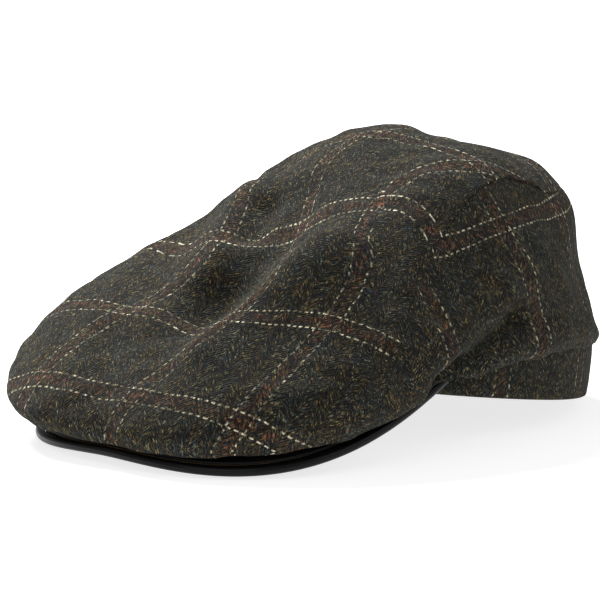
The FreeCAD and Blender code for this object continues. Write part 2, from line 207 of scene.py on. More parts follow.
# How far the soft shallow lumps between the folds raise or sink the wool.
UNEVEN = 0.6


# Keeps a point that lies on a fold's line from a division by nothing.
TINY = 0.1


def fold_height(points, path, height, right, left, out):
    """How far one fold lifts each point of a surface with outward normals."""
    path = np.array(path, float)
    flat = points.reshape(-1, 3)
    normal = out.reshape(-1, 3)
    nearest = np.full(len(flat), np.inf)
    side = np.zeros(len(flat))
    for start, stop in zip(path[:-1], path[1:]):
        run = stop - start
        share = np.clip((flat - start) @ run / (run @ run), 0.0, 1.0)
        gap = flat - start - share[:, None] * run
        distance = np.linalg.norm(gap, axis=1)
        closer = distance < nearest
        nearest = np.where(closer, distance, nearest)
        hand = (np.cross(run, normal) * gap).sum(axis=1) / (np.linalg.norm(run) * (distance + TINY))
        side = np.where(closer, np.clip(hand, -1.0, 1.0), side)
    spread = (right * (1.0 + side) + left * (1.0 - side)) / 2.0
    return (height * np.exp(-(nearest / spread) ** 2)).reshape(points.shape[:2])


def unevenness(points):
    """Soft shallow lumps that any worn wool cap has."""
    x, y, z = points[..., 0], points[..., 1], points[..., 2]
    lumps = np.sin(0.13 * x + 0.07 * y + 1.3) * np.sin(0.11 * y - 0.12 * z + 0.4)
    lumps += 0.7 * np.sin(0.22 * x - 0.16 * y + 2.1) * np.sin(0.19 * y + 0.15 * z)
    lumps += 0.5 * np.sin(0.34 * y + 0.21 * z + 0.8) * np.sin(0.29 * x + 0.6)
    return UNEVEN * lumps


def folded(points):
    out = normals_of(points)
    lift = unevenness(points) + sum(fold_height(points, path, height, right, left, out)
                                    for path, height, right, left in FOLDS)
    return points + out * lift[..., None]


# ================================================================ cloth cut
def flatten(points, start, rounds):
    """Lays a grid of points flat, keeping the lengths between neighbours as well as it can."""
    flat = start.copy()
    down, up, full = slice(0, -1), slice(1, None), slice(None)
    pairs = [((down, full), (up, full)), ((full, down), (full, up)),
             ((down, down), (up, up)), ((down, up), (up, down))]
    lengths = [np.linalg.norm(points[b] - points[a], axis=-1) for a, b in pairs]
    for _ in range(rounds):
        move = np.zeros_like(flat)
        count = np.zeros(flat.shape[:2] + (1,))
        for (a, b), length in zip(pairs, lengths):
            gap = flat[b] - flat[a]
            now = np.linalg.norm(gap, axis=-1) + 1e-9
            weight = (length / (length + 1.0))[..., None]
            pull = (0.5 * (1.0 - length / now))[..., None] * gap * weight
            move[a] += pull
            move[b] -= pull
            count[a] += weight
            count[b] += weight
        flat += 1.6 * move / (count + 1e-9)
    return flat


def laid_out(angle, place):
    """A first flat place for each point: its angle, and its distance from the top over the crown."""
    shares = np.linspace(0.0, 1.0, 25)
    path = crown(angle[..., None] + 0.0 * shares, TOP_ROW + (place[..., None] - TOP_ROW) * shares)
    reach = np.linalg.norm(np.diff(path, axis=-2), axis=-1).sum(axis=-1)
    turn = np.radians(angle)
    return np.stack([reach * np.sin(turn), -reach * np.cos(turn)], axis=-1)


CHECK = (52.0, 53.0)
CHECK_TURN = (-5.0, 8.0)
CHECK_START = (-30.0, -181.0)
# The hem holds the front lines straighter: the slope taken off them, and how far back it fades.
HEM_PULL = 0.09
HEM_FADE = 32.0
# The slouching wool has slid along the long hollow: where that runs on the flat panel,
# how far the wool has slid, and how far out to each side and beyond each end it fades.
SLIP_RUN = ((41.0, -87.0), (-13.0, -61.0))
SLIP = -140.0
SLIP_SPREAD = 66.0
SLIP_FADE = 30.0


def checked(cut):
    """Where each place of the flat top panel falls across and along the check."""
    start, stop = np.array(SLIP_RUN)
    reach = np.linalg.norm(stop - start)
    way = (stop - start) / reach
    along = (cut - start) @ way
    aside = (cut - start) @ np.array([way[1], -way[0]]) / SLIP_SPREAD
    past = np.maximum(0.0, np.maximum(-along, along - reach)) / SLIP_FADE
    slid = cut + (SLIP * 0.5 * np.tanh(aside) * np.exp(-aside ** 2 - past ** 2))[..., None] * way
    first, second = np.radians(CHECK_TURN)
    across = slid[..., 0] * np.cos(first) + slid[..., 1] * np.sin(first) - CHECK_START[0]
    along = slid[..., 1] * np.cos(second) - slid[..., 0] * np.sin(second) - CHECK_START[1]
    along = along + HEM_PULL * cut[..., 0] * np.exp(-((cut[..., 1] - CHECK_START[1]) / HEM_FADE) ** 2)
    return np.stack([across, along], axis=-1)


def refine(grid, rows, columns):
    """A grid of values at a finer spacing, by straight blending."""
    def stretch(values, count):
        place = np.linspace(0, len(values) - 1, count)
        index = np.minimum(place.astype(int), len(values) - 2)
        share = (place - index).reshape((-1,) + (1,) * (values.ndim - 1))
        return values[index] * (1 - share) + values[index + 1] * share
    return stretch(stretch(grid, rows).swapaxes(0, 1), columns).swapaxes(0, 1)


# ================================================================ meshes
def new_object(name, vertices, faces, material, uvs=None, smooth=True, check=None):
    """A mesh with its cloth map, and its check map where that differs; points and maps in metres."""
    mesh = bpy.data.meshes.new(name)
    mesh.from_pydata([tuple(v) for v in vertices], [], faces)
    mesh.polygons.foreach_set("use_smooth", [smooth] * len(mesh.polygons))
    maps = {} if uvs is None else {"cloth": uvs, "check": uvs if check is None else check}
    for map_name, places in maps.items():
        layer = mesh.uv_layers.new(name=map_name)
        corners = np.zeros(len(mesh.loops), np.int32)
        mesh.loops.foreach_get("vertex_index", corners)
        layer.data.foreach_set("uv", np.asarray(places, np.float32)[corners].ravel())
    mesh.validate()
    mesh.materials.append(material)
    made = bpy.data.objects.new(name, mesh)
    bpy.context.scene.collection.objects.link(made)
    return made


def grid_faces(rows, columns, offset, closed, flip):
    """Faces of a grid of vertices; closed joins its last row to its first."""
    faces = []
    last = rows if closed else rows - 1
    for i in range(last):
        for j in range(columns - 1):
            a = offset + i * columns + j
            b = offset + ((i + 1) % rows) * columns + j
            face = (a, b, b + 1, a + 1)
            faces.append(face[::-1] if flip else face)
    return faces


def sheet_mesh(name, outer, inner, material, cut, closed=False, check=None):
    """A sheet with thickness: an outer and an inner grid joined round their edges."""
    rows, columns = outer.shape[:2]
    out = normals_of(outer)
    across = np.cross(np.gradient(outer, axis=0), np.gradient(outer, axis=1))
    turned = (across * out).sum() < 0
    count = rows * columns
    faces = grid_faces(rows, columns, 0, closed, turned)
    faces += grid_faces(rows, columns, count, closed, not turned)
    rims = [[i * columns for i in range(rows)], [i * columns + columns - 1 for i in range(rows)]]
    if not closed:
        rims += [list(range(columns)), [(rows - 1) * columns + j for j in range(columns)]]
    for index, rim in enumerate(rims):
        ends = list(zip(rim, rim[1:]))
        if closed:
            ends.append((rim[-1], rim[0]))
        for a, b in ends:
            face = (a, b, b + count, a + count)
            keep = (index in (1, 2)) == turned
            faces.append(face if keep else face[::-1])
    vertices = np.concatenate([row(outer.reshape(-1, 3)), row(inner.reshape(-1, 3))])
    uvs, check_uvs = [np.concatenate([places.reshape(-1, 2)] * 2) * MM
                      for places in (cut, cut if check is None else check)]
    return new_object(name, vertices, faces, material, uvs, check=check_uvs)


# ================================================================ material helpers
class Nodes:
    """Short names for building a node tree."""

    def __init__(self, name):
        self.material = bpy.data.materials.new(name)
        self.material.use_nodes = True
        self.tree = self.material.node_tree
        self.tree.nodes.clear()

    def add(self, kind, **values):
        node = self.tree.nodes.new("ShaderNode" + kind)
        for key, value in values.items():
            setattr(node, key, value)
        return node

    def put(self, socket, value):
        if hasattr(value, "is_output"):
            self.tree.links.new(value, socket)
        elif isinstance(value, (tuple, list)) and len(value) == 3 and socket.type == "RGBA":
            socket.default_value = (*value, 1.0)
        else:
            socket.default_value = value

    def math(self, operation, a, b=0.0, clamp=False):
        node = self.add("Math", operation=operation, use_clamp=clamp)
        for socket, value in zip(node.inputs, (a, b)):
            self.put(socket, value)
        return node.outputs[0]

    def mix(self, share, a, b, blend="MIX"):
        node = self.add("Mix", data_type="RGBA", blend_type=blend)
        self.put(node.inputs[0], share)
        self.put(node.inputs[6], a)
        self.put(node.inputs[7], b)
        return node.outputs[2]

    def combine(self, x, y, z=0.0):
        node = self.add("CombineXYZ")
        for socket, value in zip(node.inputs, (x, y, z)):
            self.put(socket, value)
        return node.outputs[0]

    def noise(self, vector, scale, detail=2.0, rough=0.5):
        node = self.add("TexNoise")
        self.put(node.inputs["Vector"], vector)
        node.inputs["Scale"].default_value = scale
        node.inputs["Detail"].default_value = detail
        node.inputs["Roughness"].default_value = rough
        return node.outputs["Fac"]

    def white(self, vector):
        node = self.add("TexWhiteNoise", noise_dimensions="3D")
        self.put(node.inputs["Vector"], vector)
        return node.outputs

    def ramp(self, share, stops):
        node = self.add("ValToRGB")
        while len(node.color_ramp.elements) < len(stops):
            node.color_ramp.elements.new(0.5)
        for element, (place, colour) in zip(node.color_ramp.elements, stops):
            element.position = place
            element.color = (*colour, 1.0)
        self.put(node.inputs[0], share)
        return node.outputs[0]

    def step(self, low_edge, high_edge, value):
        """Smooth rise from 0 to 1 between two edges."""
        node = self.add("MapRange", interpolation_type="SMOOTHSTEP")
        for socket, item in zip(node.inputs, (value, low_edge, high_edge, 0.0, 1.0)):
            self.put(socket, item)
        return node.outputs[0]

    def bump(self, height, distance, strength):
        node = self.add("Bump")
        node.inputs["Strength"].default_value = strength
        node.inputs["Distance"].default_value = distance
        self.put(node.inputs["Height"], height)
        return node.outputs[0]

    def surface(self, colour, roughness, normal=None, sheen=0.0, sheen_tint=(1, 1, 1),
                specular=0.5, coat=0.0):
        shader = self.add("BsdfPrincipled")
        self.put(shader.inputs["Base Color"], colour)
        self.put(shader.inputs["Roughness"], roughness)
        shader.inputs["Specular IOR Level"].default_value = specular
        shader.inputs["Sheen Weight"].default_value = sheen
        shader.inputs["Sheen Roughness"].default_value = 0.6
        self.put(shader.inputs["Sheen Tint"], sheen_tint)
        shader.inputs["Coat Weight"].default_value = coat
        shader.inputs["Coat Roughness"].default_value = 0.12
        if normal is not None:
            self.put(shader.inputs["Normal"], normal)
        output = self.add("OutputMaterial")
        self.tree.links.new(shader.outputs[0], output.inputs[0])
        return self.material


def linear(red, green, blue):
    """A colour given as 0 to 255 sRGB, in linear light."""
    return tuple(((c / 255.0 + 0.055) / 1.055) ** 2.4 if c > 10 else c / 3295.0 for c in (red, green, blue))


# ================================================================ tweed
# Thickness of a yarn, how far it shows before it goes under, the width of a herringbone column,
# and how far the yarns wander off their lines.
YARN = 0.78
YARN_SHOW = 1.15
HERRINGBONE = 5.4
WANDER = 1.6
# The check's cream yarns: how far each lies from the middle of its pair, the length of a stitch
# and the gap after it, and the strength of the lines that run front to back.
STRIPE_GAP = 3.9
DASH = 3.4
FAINT = 0.7


def map_axes(n, map_name, turn, shift, seed):
    """Millimetres across and along the cloth on one of its maps; yarns wander a little."""
    split = n.add("SeparateXYZ")
    n.put(split.inputs[0], n.add("UVMap", uv_map=map_name).outputs[0])
    u = n.math("MULTIPLY", split.outputs[0], 1.0 / MM)
    v = n.math("MULTIPLY", split.outputs[1], 1.0 / MM)
    cos, sin = math.cos(math.radians(turn)), math.sin(math.radians(turn))
    across = n.math("ADD", n.math("MULTIPLY", u, cos), n.math("MULTIPLY", v, sin))
    along = n.math("SUBTRACT", n.math("MULTIPLY", v, cos), n.math("MULTIPLY", u, sin))
    across = n.math("SUBTRACT", across, shift[0])
    along = n.math("SUBTRACT", along, shift[1])
    wander = n.math("SUBTRACT", n.noise(n.combine(across, along, seed), 0.05), 0.5)
    drift = n.math("SUBTRACT", n.noise(n.combine(along, across, seed + 7.0), 0.05), 0.5)
    return (n.math("ADD", across, n.math("MULTIPLY", wander, WANDER)),
            n.math("ADD", along, n.math("MULTIPLY", drift, WANDER)))


def fleck_noise(n, slant, across, seed, scale, low_edge, high_edge):
    """Short flecks along the twill, as a share from 0 to 1."""
    place = n.combine(slant, n.math("MULTIPLY", across, 1.3), seed)
    return n.step(low_edge, high_edge, n.noise(place, scale, 2.0, 0.6))


def ground(n, slant, across, column):
    """The flecked dark ground: near-black yarn with olive, teal and russet ends."""
    place = n.combine(slant, n.math("MULTIPLY", across, 1.5), column)
    colour = n.ramp(n.noise(place, 0.95, 3.0, 0.8), [
        (0.33, linear(9, 10, 14)), (0.43, linear(21, 24, 30)), (0.50, linear(40, 41, 36)),
        (0.58, linear(88, 82, 56)), (0.68, linear(176, 160, 118))])
    seeded = n.math("ADD", column, 31.0)
    teal = fleck_noise(n, slant, across, seeded, 0.75, 0.52, 0.66)
    colour = n.mix(n.math("MULTIPLY", teal, 0.62), colour, linear(40, 66, 80))
    seeded = n.math("ADD", column, 57.0)
    russet = fleck_noise(n, slant, across, seeded, 0.95, 0.56, 0.68)
    colour = n.mix(n.math("MULTIPLY", russet, 0.6), colour, linear(104, 62, 44))
    patch = n.noise(n.combine(across, n.math("MULTIPLY", slant, 0.6), 11.0), 0.14, 3.0, 0.6)
    tint = n.ramp(patch, [(0.35, linear(206, 228, 248)), (0.5, linear(244, 246, 236)),
                          (0.65, linear(255, 240, 198))])
    return n.mix(1.0, colour, tint, "MULTIPLY")


def stripe_pair(n, colour, place, run, gap, strength, slant, across, chance):
    """One set of the check's lines: two broken cream yarns with rust flecks between them."""
    reach = n.math("PINGPONG", place, gap / 2.0)
    inside = n.math("SUBTRACT", 1.0, n.step(STRIPE_GAP - 0.6, STRIPE_GAP + 0.6, reach))
    middle = n.math("SUBTRACT", 1.0, n.step(1.7, 2.6, reach))
    from_line = n.math("ABSOLUTE", n.math("SUBTRACT", reach, STRIPE_GAP))
    yarn = n.math("SUBTRACT", 1.0, n.step(0.22, 0.52, from_line))
    beat = n.math("DIVIDE", n.math("ADD", run, n.math("MULTIPLY", n.math("SIGN", place), 0.9)), DASH)
    dash = n.step(0.17, 0.28, n.math("PINGPONG", beat, 0.5))
    line = n.math("FLOOR", n.math("DIVIDE", place, 3.0))
    which = n.white(n.combine(n.math("FLOOR", n.math("ADD", beat, 0.5)), line, gap))
    worn = n.step(0.34, 0.54, n.noise(n.combine(n.math("MULTIPLY", run, 0.25), line, gap), 0.6, 2.0))
    fade = n.math("MULTIPLY", n.math("ADD", 0.42, n.math("MULTIPLY", which["Value"], 0.58)),
                  n.math("ADD", 0.6, n.math("MULTIPLY", worn, 0.4)))
    cream = n.math("MULTIPLY", n.math("MULTIPLY", yarn, dash), n.math("MULTIPLY", fade, strength))
    flecks = fleck_noise(n, slant, across, gap, 0.9, 0.54, 0.64)
    colour = n.mix(n.math("MULTIPLY", inside, 0.08), colour, linear(72, 50, 38))
    rust = n.mix(chance, linear(92, 42, 30), linear(158, 84, 56))
    colour = n.mix(n.math("MULTIPLY", n.math("MULTIPLY", middle, flecks), 0.66), colour, rust)
    colour = n.mix(cream, colour, n.mix(which["Value"], linear(206, 190, 150), linear(255, 246, 216)))
    return colour, cream


def tweed(name, turn, shift, spacing):
    """Herringbone wool with a window check; turn in degrees, shift and spacing in millimetres."""
    n = Nodes(name)
    across, along = map_axes(n, "cloth", turn, shift, 0.0)
    column = n.math("FLOOR", n.math("DIVIDE", across, HERRINGBONE))
    odd = n.math("MODULO", n.math("ABSOLUTE", column), 2.0)
    way = n.math("SUBTRACT", n.math("MULTIPLY", odd, 2.0), 1.0)
    slant = n.math("ADD", along, n.math("MULTIPLY", across, way))
    twill = n.math("SINE", n.math("MULTIPLY", slant, 2 * math.pi / (1.8 * YARN)))
    thread = n.math("FLOOR", n.math("DIVIDE", slant, YARN))
    staggered = n.math("ADD", across, n.math("MULTIPLY", thread, 0.37))
    cell = n.math("FLOOR", n.math("DIVIDE", staggered, YARN_SHOW))
    chance = n.white(n.combine(thread, cell, column))["Value"]
    colour = ground(n, slant, across, column)

    side_place, length_place = map_axes(n, "check", turn, shift, 3.0)
    colour, raised = stripe_pair(
        n, colour, side_place, length_place, spacing[0], FAINT, slant, across, chance)
    colour, more = stripe_pair(
        n, colour, length_place, side_place, spacing[1], 1.0, slant, across, chance)

    fuzz = n.noise(n.combine(across, along, 5.0), 1.9, 3.0, 0.7)
    height = n.math("ADD", n.math("MULTIPLY", twill, 0.45), n.math("MULTIPLY", fuzz, 2.2))
    height = n.math("ADD", height, n.math("MULTIPLY", chance, 0.6))
    height = n.math("ADD", height, n.math("MULTIPLY", n.math("ADD", raised, more), 0.9))
    spark = n.math("POWER", chance, 2.8)
    share = n.math("ADD", 0.22, n.math("MULTIPLY", twill, 0.08))
    share = n.math("ADD", share, n.math("MULTIPLY", spark, 1.5))
    share = n.math("MAXIMUM", share, n.math("MULTIPLY", n.math("MAXIMUM", raised, more), 0.9))
    colour = n.mix(1.0, colour, n.combine(share, share, share), "MULTIPLY")
    bump = n.bump(height, 0.00035, 1.0)
    return n.surface(colour, 0.95, bump, sheen=0.10, sheen_tint=linear(186, 188, 184), specular=0.10)


def leather(name, roughness, coat, colour, depth=0.00005, grain=900.0):
    """Grained leather with faint wrinkles and wear."""
    n = Nodes(name)
    place = n.add("TexCoord").outputs["Object"]
    cells = n.add("TexVoronoi", feature="SMOOTH_F1")
    n.put(cells.inputs["Vector"], place)
    cells.inputs["Scale"].default_value = grain
    wrinkle = n.noise(place, grain * 0.25, 4.0, 0.6)
    height = n.math("ADD", cells.outputs["Distance"], n.math("MULTIPLY", wrinkle, 0.7))
    wear = n.noise(place, 60.0, 4.0, 0.6)
    shade = n.mix(wear, linear(*colour), linear(*[c + 7 for c in colour]))
    rough = n.math("ADD", roughness - 0.06, n.math("MULTIPLY", wear, 0.12))
    return n.surface(shade, rough, n.bump(height, depth, 0.6), coat=coat, specular=0.14)


def woven(name, dark, light, yarn, sheen=0.15, roughness=0.75, diagonal=False):
    """Plain or twill cloth on the cloth map."""
    n = Nodes(name)
    uv = n.add("UVMap", uv_map="cloth")
    split = n.add("SeparateXYZ")
    n.put(split.inputs[0], uv.outputs[0])
    u = n.math("MULTIPLY", split.outputs[0], 2 * math.pi / (yarn * MM))
    v = n.math("MULTIPLY", split.outputs[1], 2 * math.pi / (yarn * MM))
    if diagonal:
        weave = n.math("SINE", n.math("ADD", n.math("MULTIPLY", u, 0.5), n.math("MULTIPLY", v, 0.5)))
    else:
        weave = n.math("MULTIPLY", n.math("SINE", u), n.math("SINE", v))
    thread = n.noise(n.combine(n.math("MULTIPLY", u, 0.02), n.math("MULTIPLY", v, 0.2)), 2.0, 3.0)
    share = n.math("ADD", n.math("MULTIPLY", weave, 0.25), thread, clamp=True)
    colour = n.mix(share, linear(*dark), linear(*light))
    height = n.math("ADD", n.math("MULTIPLY", weave, 0.5), thread)
    return n.surface(colour, roughness, n.bump(height, 0.00012, 0.7), sheen=sheen)


def solid_looking(name, dark, light, scale, roughness, fibre=1.0):
    """Board, canvas and cord: mottled colour with a fine grain, on object places."""
    n = Nodes(name)
    place = n.add("TexCoord").outputs["Object"]
    stretch = n.add("Mapping")
    n.put(stretch.inputs[0], place)
    stretch.inputs["Scale"].default_value = (1.0, fibre, 1.0)
    grain = n.noise(stretch.outputs[0], scale, 5.0, 0.65)
    mottle = n.noise(place, scale * 0.1, 3.0)
    share = n.math("ADD", n.math("MULTIPLY", grain, 0.6), n.math("MULTIPLY", mottle, 0.4))
    return n.surface(n.mix(share, linear(*dark), linear(*light)), roughness, n.bump(grain, 0.0001, 0.6))


materials = {
    "tweed_top": tweed("tweed_top", 0.0, (0.0, 0.0), CHECK),
    "tweed_left": tweed("tweed_left", 2.0, (45.0, 89.0), (57.0, 76.0)),
    "tweed_right": tweed("tweed_right", -2.0, (45.0, 89.0), (57.0, 76.0)),
    "tweed_band": tweed("tweed_band", 0.0, (38.0, 60.0), (54.4, 100.0)),
    "matte_leather": leather("matte_leather", 0.5, 0.0, (6, 6, 7)),
    "glossy_leather": leather("glossy_leather", 0.34, 0.06, (4, 4, 5), depth=0.00003),
    "sweat_cloth": woven("sweat_cloth", (26, 27, 30), (52, 52, 54), 0.6, diagonal=True),
    "lining": woven("lining", (30, 30, 34), (58, 58, 64), 0.3, sheen=0.3, roughness=0.42),
    "label": woven("label", (92, 84, 66), (150, 140, 112), 0.35, roughness=0.6),
    "thread": woven("thread", (20, 20, 22), (44, 44, 46), 0.3),
    "canvas": solid_looking("canvas", (150, 142, 122), (190, 182, 160), 1500.0, 0.9),
    "board": solid_looking("board", (128, 104, 76), (166, 142, 108), 900.0, 0.85, 4.0),
    "cord": solid_looking("cord", (140, 132, 116), (196, 190, 174), 2500.0, 0.9),
}


# ================================================================ crown pieces
# Points each way in the panels' meshes, and in the coarser grids that are laid flat.
TOP_COUNT = 181
CUT_COUNT = 46
SIDE_COUNT = (241, 61)
SIDE_CUT_COUNT = (61, 15)
CUT_ROUNDS = (2000, 1500)
# A side panel starts this part of the way along its seam, where it is wide enough to sew.
SIDE_TIP = 0.03
# Depth and spread of the groove at a seam, and height, distance and spread of the swelling by it.
SEAM_GROOVE = (0.16, 0.7)
SEAM_RIDGE = (0.1, 3.5, 2.6)
# How much lower the sweatband and the lining start at the front, and how far round that fades.
FRONT_DIP = 7.0
FRONT_DIP_SPREAD = 45.0


def seam_relief(points, out, edge_distance):
    """Sinks the cloth at a seam and swells it a little over the pressed allowance."""
    depth, spread = SEAM_GROOVE
    groove = -depth * np.exp(-(edge_distance / spread) ** 2)
    height, distance, spread = SEAM_RIDGE
    ridge = height * np.exp(-((edge_distance - distance) / spread) ** 2)
    return points + out * (groove + ridge)[..., None]


def edge_run(points, axis, edges):
    """Distance of each grid point from the given edges, measured along the surface."""
    runs = np.cumsum(np.linalg.norm(np.diff(points, axis=axis), axis=-1), axis=axis)
    zero = np.zeros_like(np.take(runs, [0], axis=axis))
    runs = np.concatenate([zero, runs], axis=axis)
    total = np.take(runs, [-1], axis=axis)
    found = np.full(runs.shape, np.inf)
    if "start" in edges:
        found = np.minimum(found, runs)
    if "end" in edges:
        found = np.minimum(found, total - runs)
    return found


def crown_top():
    skin = folded(crown(*top_place(*square(TOP_COUNT))))
    spots = top_place(*square(CUT_COUNT))
    cut = flatten(folded(crown(*spots)), laid_out(*spots), CUT_ROUNDS[0])
    cut = refine(cut, TOP_COUNT, TOP_COUNT)
    side_gap = edge_run(skin, 0, ("start", "end"))
    back_gap = edge_run(skin, 1, ("end",))
    out = normals_of(skin)
    skin = seam_relief(skin, out, np.minimum(side_gap, back_gap))
    out = normals_of(skin)
    made = sheet_mesh("crown_top_cloth", skin, skin - out * WOOL, materials["tweed_top"], cut,
                      check=checked(cut))
    return made, skin, cut


def crown_side(hand, name, material):
    along, part = np.meshgrid(np.linspace(SIDE_TIP, 1.0, SIDE_COUNT[0]),
                              np.linspace(0.0, 1.0, SIDE_COUNT[1]), indexing="ij")
    angle, edge = seam_place(along)
    skin = folded(crown(hand * angle, part * edge))
    rows, columns = SIDE_CUT_COUNT
    pick = np.linspace(0, SIDE_COUNT[0] - 1, rows).round().astype(int)
    pick_across = np.linspace(0, SIDE_COUNT[1] - 1, columns).round().astype(int)
    coarse = skin[np.ix_(pick, pick_across)]
    hem = np.linalg.norm(np.diff(coarse[:, columns // 2], axis=0), axis=-1)
    run = np.concatenate([[0.0], np.cumsum(hem)])[:, None] + 0.0 * coarse[..., 2]
    cut = refine(flatten(coarse, np.stack([run, coarse[..., 2]], axis=-1), CUT_ROUNDS[1]), *SIDE_COUNT)
    out = normals_of(skin)
    edge_distance = np.minimum(edge_run(skin, 1, ("start", "end")), edge_run(skin, 0, ("end",)))
    skin = seam_relief(skin, out, edge_distance)
    out = normals_of(skin)
    return sheet_mesh(name, skin, skin - out * WOOL, materials[material], cut), skin, cut


def band_point(turn, height, inset=0.0, bulge=0.0):
    """The tilted band at a turn about its axis and a height above its lower edge."""
    x = (BAND_HALF_WIDTH - inset + bulge) * np.cos(turn)
    y = (BAND_HALF_LENGTH - inset + bulge) * np.sin(turn)
    cos, sin = math.cos(BAND_TILT), math.sin(BAND_TILT)
    return np.stack([x, y * cos + height * sin, (BAND_HALF_LENGTH - y) * sin + height * cos], axis=-1)


def front_dip(angle):
    """How much lower the sweatband and the lining's edge are near the front, under the slouching top."""
    return FRONT_DIP * np.exp(-(((angle + 180.0) % 360.0 - 180.0) / FRONT_DIP_SPREAD) ** 2)


def band_ring(name, inset, wall, bottom, top, material, rows, bulge):
    """A ring of cloth inside the band, lower at the front."""
    turn, share = np.meshgrid(np.linspace(0, 2 * math.pi, 241)[:-1],
                              np.linspace(0.0, 1.0, rows), indexing="ij")
    height = bottom + (top - front_dip(np.degrees(turn) + 90.0) - bottom) * share
    rounding = bulge * (1.0 - (2.0 * share - 1.0) ** 4)
    outer = band_point(turn, height, inset, rounding)
    inner = band_point(turn, height, inset + wall, rounding)
    around = turn * (BAND_HALF_WIDTH + BAND_HALF_LENGTH) / 2
    cut = np.stack([around, height], axis=-1)
    return sheet_mesh(name, outer, inner, materials[material], cut, closed=True)


def band_wool():
    """The band's wool: a ring that is turned under at its lower edge as far as the sweatband."""
    # Places on its section as distance in from the band's outline and height.
    outline = np.array([
        (1.8, 24), (0.9, 24.5), (0, 24), (-0.35, 18), (-0.4, 12), (-0.35, 6), (0, 1.4), (0.3, 0.5),
        (1.0, 0.05), (2.2, 0), (2.9, 0.15), (2.9, 0.85), (2.0, 0.9), (1.8, 1.4), (1.8, 12)], float)
    turn = np.linspace(0, 2 * math.pi, 361)[:-1]
    wave = 0.25 * np.sin(7 * turn) * np.sin(2 * turn + 1.0)
    grid_turn = turn[:, None] + 0.0 * outline[:, 0]
    skin = band_point(grid_turn, outline[:, 1] + 0.0 * grid_turn, outline[:, 0] - wave[:, None])
    rows, columns = skin.shape[:2]
    faces = []
    for i in range(rows):
        for j in range(columns):
            a, b = i * columns + j, (i + 1) % rows * columns + j
            c, d = (i + 1) % rows * columns + (j + 1) % columns, i * columns + (j + 1) % columns
            faces.append((a, d, c, b))
    run = np.concatenate([[0.0], np.cumsum(np.linalg.norm(np.diff(outline, axis=0), axis=1))])
    around = grid_turn * (BAND_HALF_WIDTH + BAND_HALF_LENGTH) / 2
    cut = np.stack([around, 27.0 - run + 0.0 * around], axis=-1)
    return new_object("band_cloth", row(skin.reshape(-1, 3)), faces, materials["tweed_band"],
                      cut.reshape(-1, 2) * MM)


# ================================================================ inside pieces
HEAD_MIDDLE = np.array([0.0, CROWN_MIDDLE, 40.0])
# The row of the crown where the lining begins to follow it, by the angle from the front.
LINING_TURNS = (0, 30, 60, 90, 120, 180)
LINING_STARTS = (4.5, 4.3, 3.4, 2.7, 2.3, 2.0)
# Parts of the way up the lining: its seam, and where it has left the sweatband's shape behind.
LINING_SEAM = 0.545
LINING_BLEND = 0.4
SEAM_GAP = 0.004
LINING_INSET = 7.0
LINING_EDGE = 33.0
LINING_WALL = 0.4
LABEL_INSET = LINING_INSET + 1.3
DISC_COUNT = 61


def lining_grid(angle, part, inset):
    """Lining points at angles from the front and parts of the way from the sweatband to the top."""
    start = np.interp(np.abs(angle), LINING_TURNS, LINING_STARTS)
    under = folded(crown(angle, start + (TOP_ROW - start) * part))
    to_head = HEAD_MIDDLE - under
    under = under + to_head * (inset / np.linalg.norm(to_head, axis=-1))[..., None]
    edge = LINING_EDGE - front_dip(angle)
    ring = band_point(np.radians(angle) - math.pi / 2, edge, 4.0 + inset - LINING_INSET)
    share = np.clip(part / LINING_BLEND, 0.0, 1.0)
    share = (share * share * (3.0 - 2.0 * share))[..., None]
    found = ring * (1.0 - share) + under * share
    turn = np.radians(angle)
    puckers = 0.5 + 0.5 * np.sin(11 * turn + 2.0 * np.sin(3 * turn) + 5.0 * part)
    depth = 0.9 * puckers * np.sin(math.pi * np.clip(part / LINING_SEAM, 0.0, 1.0)) ** 2
    inward = HEAD_MIDDLE - found
    return found + inward * (depth / np.linalg.norm(inward, axis=-1))[..., None]


def spread_of(skin):
    """A flat layout of a gently curved grid by the lengths along its rows and columns."""
    runs = []
    for axis in (0, 1):
        step = np.linalg.norm(np.diff(skin, axis=axis), axis=-1)
        run = np.cumsum(step, axis=axis)
        runs.append(np.concatenate([np.zeros_like(np.take(run, [0], axis=axis)), run], axis=axis))
    return np.stack(runs, axis=-1)


def disc_sheet(name, reach, inset, wall, material, half_width):
    """A round piece on the crown of the lining, out to a part of the way down it."""
    place, angle, out = on_disc(*square(DISC_COUNT))
    skin = lining_grid(angle, 1.0 - out * reach, inset)
    cut = place * half_width
    return sheet_mesh(name, skin, skin - normals_of(skin) * wall, materials[material], cut), skin, cut


def lining_side(hand, name):
    angle, part = np.meshgrid(hand * np.linspace(0.3, 179.7, 181),
                              np.linspace(0.0, LINING_SEAM - SEAM_GAP, 31), indexing="ij")
    skin = lining_grid(angle, part, LINING_INSET)
    cut = spread_of(skin)
    made = sheet_mesh(name, skin, skin - normals_of(skin) * LINING_WALL, materials["lining"], cut)
    return made, skin, cut


